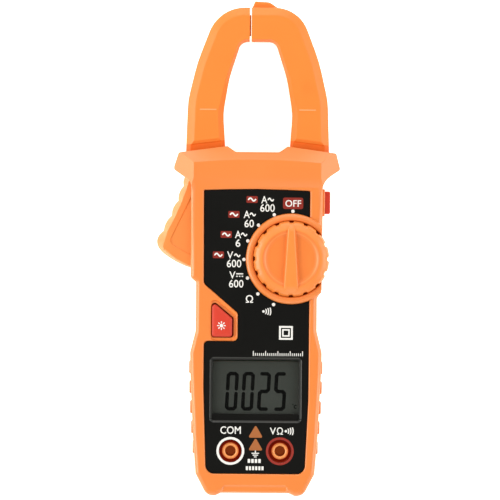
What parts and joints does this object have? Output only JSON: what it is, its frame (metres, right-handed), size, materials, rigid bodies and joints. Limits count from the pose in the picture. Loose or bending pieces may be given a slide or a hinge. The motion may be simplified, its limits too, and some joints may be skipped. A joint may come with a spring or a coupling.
{
  "type": "clamp meter",
  "caption": "Hand-held AC clamp meter with a hinged sprung jaw and trigger, a range knob, a display, push buttons and test-lead sockets.",
  "frame": {"origin": "on the flat rear face of the housing, on its middle line, at half the housing's length", "axes": "+X to the reader's right, +Y from the sockets towards the jaws, +Z out of the display face"},
  "size_m": [0.0705, 0.1908, 0.0346],
  "materials": {
    "body_orange": "fine satin ABS, moulded",
    "knob_orange": "fine satin ABS, moulded",
    "panel_black": "semi-gloss printed panel",
    "button_red": "satin moulded",
    "lens_clear": "clear polycarbonate window",
    "lcd_grey": "liquid-crystal cell behind the window",
    "white_plastic": "moulded",
    "black_plastic": "moulded",
    "board_green": "solder-masked fibreglass",
    "resistor_brown": "lacquered disc",
    "cell_blue": "printed steel jacket",
    "steel": "bright",
    "brass": "bright",
    "winding_copper": "enamelled copper wire, drawn as one block",
    "core_iron": "laminated silicon steel"
  },
  "bodies": {
    "housing": {"front_cover": "body_orange", "rear_cover": "body_orange", "battery_door": "body_orange", "battery_door_screw": "steel", "case_screw_1": "steel", "case_screw_2": "steel", "case_screw_3": "steel", "case_screw_4": "steel", "case_screw_5": "steel", "face_panel": "panel_black", "display_lens": "lens_clear", "lcd_glass": "lcd_grey", "lcd_backlight": "white_plastic", "lcd_connector": "white_plastic", "com_socket_contact": "brass", "volt_socket_contact": "brass", "main_board": "board_green", "measuring_chip": "black_plastic", "input_resistor": "resistor_brown", "crystal": "steel", "buzzer": "black_plastic", "battery_1": "cell_blue", "battery_2": "cell_blue", "battery_spring_1": "steel", "battery_spring_2": "steel", "contact_bridge": "steel", "contact_plate_1": "steel", "contact_plate_2": "steel", "fixed_jaw_front_shell": "body_orange", "fixed_jaw_rear_shell": "body_orange", "fixed_core": "core_iron", "fixed_coil": "winding_copper", "pivot_pin": "steel", "return_spring": "steel", "coil_lead": "black_plastic", "detent_spring": "steel", "light_switch": "black_plastic", "hold_switch": "black_plastic"},
    "moving_jaw": {"moving_jaw_front_shell": "body_orange", "moving_jaw_rear_shell": "body_orange", "moving_core": "core_iron"},
    "range_knob": {"knob": "knob_orange", "knob_rotor": "white_plastic", "knob_wiper_inner": "brass", "knob_wiper_outer": "brass"},
    "light_push": {"light_button": "button_red", "light_button_plunger": "black_plastic"},
    "hold_push": {"hold_button": "button_red", "hold_button_plunger": "black_plastic"}
  },
  "joints": [
    {"name": "jaw_hinge", "type": "hinge", "parent": "housing", "child": "moving_jaw", "pos_m": [-0.0165, 0.05, 0.015], "axis": [0, 0, 1], "range_deg": [0, 22], "stiffness_Nm_per_rad": 0.6, "springref_deg": -20.05, "deforming": ["return_spring"]},
    {"name": "knob_turn", "type": "hinge", "parent": "housing", "child": "range_knob", "pos_m": [0.0133, 0.024, 0.03], "axis": [0, 0, 1], "range_deg": [0, 157.5]},
    {"name": "light_press", "type": "slide", "parent": "housing", "child": "light_push", "axis": [0, 0, -1], "range_m": [0, 0.0006], "stiffness_N_per_m": 3000, "springref_m": -0.0004},
    {"name": "hold_press", "type": "slide", "parent": "housing", "child": "hold_push", "axis": [-1, 0, 0], "range_m": [0, 0.0006], "stiffness_N_per_m": 3000, "springref_m": -0.0004}
  ]
}
